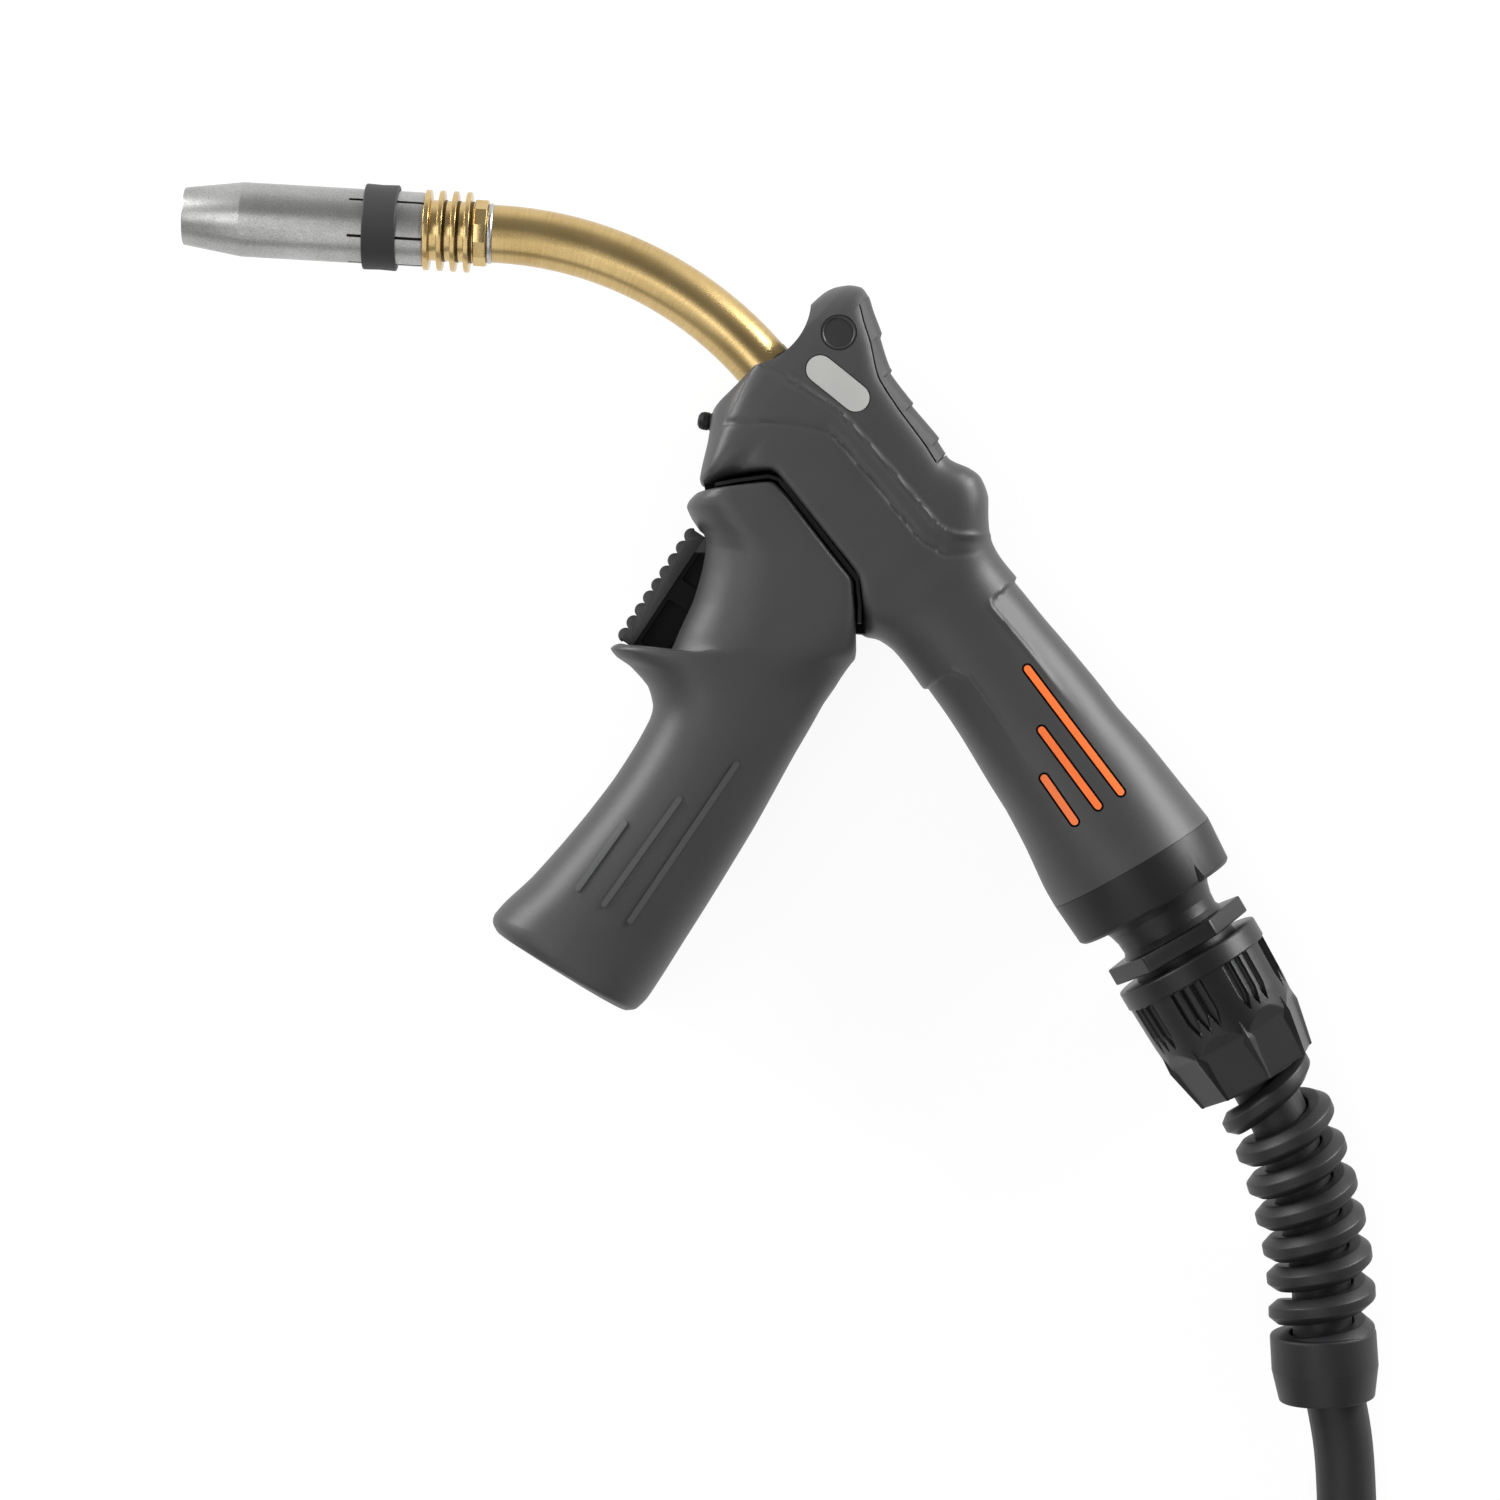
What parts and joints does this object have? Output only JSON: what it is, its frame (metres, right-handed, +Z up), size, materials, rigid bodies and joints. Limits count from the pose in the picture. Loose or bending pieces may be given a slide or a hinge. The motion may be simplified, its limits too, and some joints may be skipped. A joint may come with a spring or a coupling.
{
  "type": "mig welding torch",
  "caption": "Gas-cooled MIG welding torch: bent neck with nozzle, split handle with pistol grip and trigger, ball joint, spiral strain relief and a coiled lead with plug.",
  "frame": {"origin": "on the surface the torch lies on, under the middle of the torch without its free cable", "axes": "+Z up from the surface and across the handle, -X forwards along the nozzle, -Y towards the cable"},
  "size_m": [0.336, 0.6113, 0.0491],
  "materials": {
    "nickel": "satin, fine grained nickel plate",
    "band_rubber": "matt",
    "copper": "turned copper",
    "brass": "turned brass, lightly brushed",
    "ceramic": "fine white ceramic",
    "insulator": "moulded insulating plastic",
    "steel": "zinc plated",
    "cable_rubber": "smooth rubber jacket",
    "casing": "fine spark-eroded texture",
    "grip_plastic": "fine spark-eroded texture",
    "black_plastic": "moulded",
    "pad_rubber": "matt, ribbed",
    "badge": "bare recessed disc",
    "label": "bare label",
    "orange": "moulded inlay",
    "trigger_plastic": "moulded, ribbed",
    "switch_plastic": "moulded",
    "plunger": "moulded",
    "wire_red": "smooth insulation",
    "ring_plastic": "moulded, slight sheen",
    "nut_plastic": "moulded with grip pockets",
    "spiral_plastic": "flexible moulding"
  },
  "bodies": {
    "cable_set": {"ball_stem": "black_plastic", "clamp_nut": "nut_plastic", "gland_insert": "band_rubber", "cable_entry": "cable_rubber", "strain_spiral": "spiral_plastic", "strain_cuff": "spiral_plastic", "cable_lead": "cable_rubber", "cable_coil": "cable_rubber", "cable_tail": "cable_rubber", "plug_boot": "pad_rubber", "plug_housing": "black_plastic", "plug_body": "brass", "spigot_seal": "band_rubber"},
    "handle": {"contact_tip": "copper", "tip_holder": "brass", "gas_diffuser": "ceramic", "nozzle_insulator": "insulator", "cooling_body": "brass", "neck_nut": "brass", "neck_washer": "steel", "neck_tube": "brass", "neck_insulator": "insulator", "conductor_tube": "copper", "wire_liner": "steel", "neck_clamp": "brass", "clamp_screws": "steel", "cable_coupler": "brass", "inner_cable": "cable_rubber", "barrel_shell_left": "casing", "barrel_shell_right": "casing", "grip_shell_left": "grip_plastic", "grip_shell_right": "grip_plastic", "shell_screws": "steel", "grip_bracket": "black_plastic", "thumb_pad": "pad_rubber", "badge_disc": "badge", "label_plate": "label", "stripe_inlays": "orange", "trigger_pin": "steel", "microswitch": "switch_plastic", "switch_bracket": "black_plastic", "switch_wires": "wire_red", "end_ring": "ring_plastic", "ring_retainer": "ring_plastic"},
    "socket": {"socket_ring": "insulator"},
    "nozzle": {"gas_nozzle": "nickel", "nozzle_band": "band_rubber"},
    "trigger_lever": {"trigger": "trigger_plastic", "trigger_spring": "steel"},
    "plunger": {"switch_plunger": "plunger"},
    "button": {"lock_button": "black_plastic"},
    "union_nut": {"plug_nut": "nut_plastic"},
    "pins": {"control_pins": "brass"}
  },
  "joints": [
    {"name": "ball_tilt", "type": "hinge", "parent": "cable_set", "child": "socket", "pos_m": [0.09496, -0.01681, 0.02325], "axis": [0, 0, 1], "range_deg": [-15, 15]},
    {"name": "handle_swivel", "type": "hinge", "parent": "socket", "child": "handle", "pos_m": [0.09496, -0.01681, 0.02325], "axis": [0.5548, -0.832, 0], "range_deg": [-90, 90]},
    {"name": "nozzle_slide", "type": "slide", "parent": "handle", "child": "nozzle", "axis": [-1, 0, 0], "range_m": [0, 0.06]},
    {"name": "trigger_pull", "type": "hinge", "parent": "handle", "child": "trigger_lever", "pos_m": [-0.0196, 0.0634, 0.02325], "axis": [0, 0, 1], "range_deg": [0, 5.5], "stiffness_Nm_per_rad": 0.6, "springref_deg": -14.32},
    {"name": "plunger_press", "type": "slide", "parent": "handle", "child": "plunger", "axis": [0.8643, -0.503, 0], "range_m": [0, 0.0017]},
    {"name": "button_press", "type": "slide", "parent": "handle", "child": "button", "axis": [0.9951, -0.0993, 0], "range_m": [0, 0.0015], "stiffness_N_per_m": 400, "springref_m": -0.002},
    {"name": "union_nut_turn", "type": "hinge", "parent": "cable_set", "child": "union_nut", "pos_m": [-0.102, -0.434, 0.0246], "axis": [-1, 0, 0], "continuous": true},
    {"name": "control_pins_press", "type": "slide", "parent": "cable_set", "child": "pins", "axis": [1, 0, 0], "range_m": [0, 0.003], "stiffness_N_per_m": 300, "springref_m": -0.003}
  ],
  "couplings": [
    {"joint": "plunger_press", "follows": "trigger_pull", "m_per_rad": 0.0165}
  ]
}
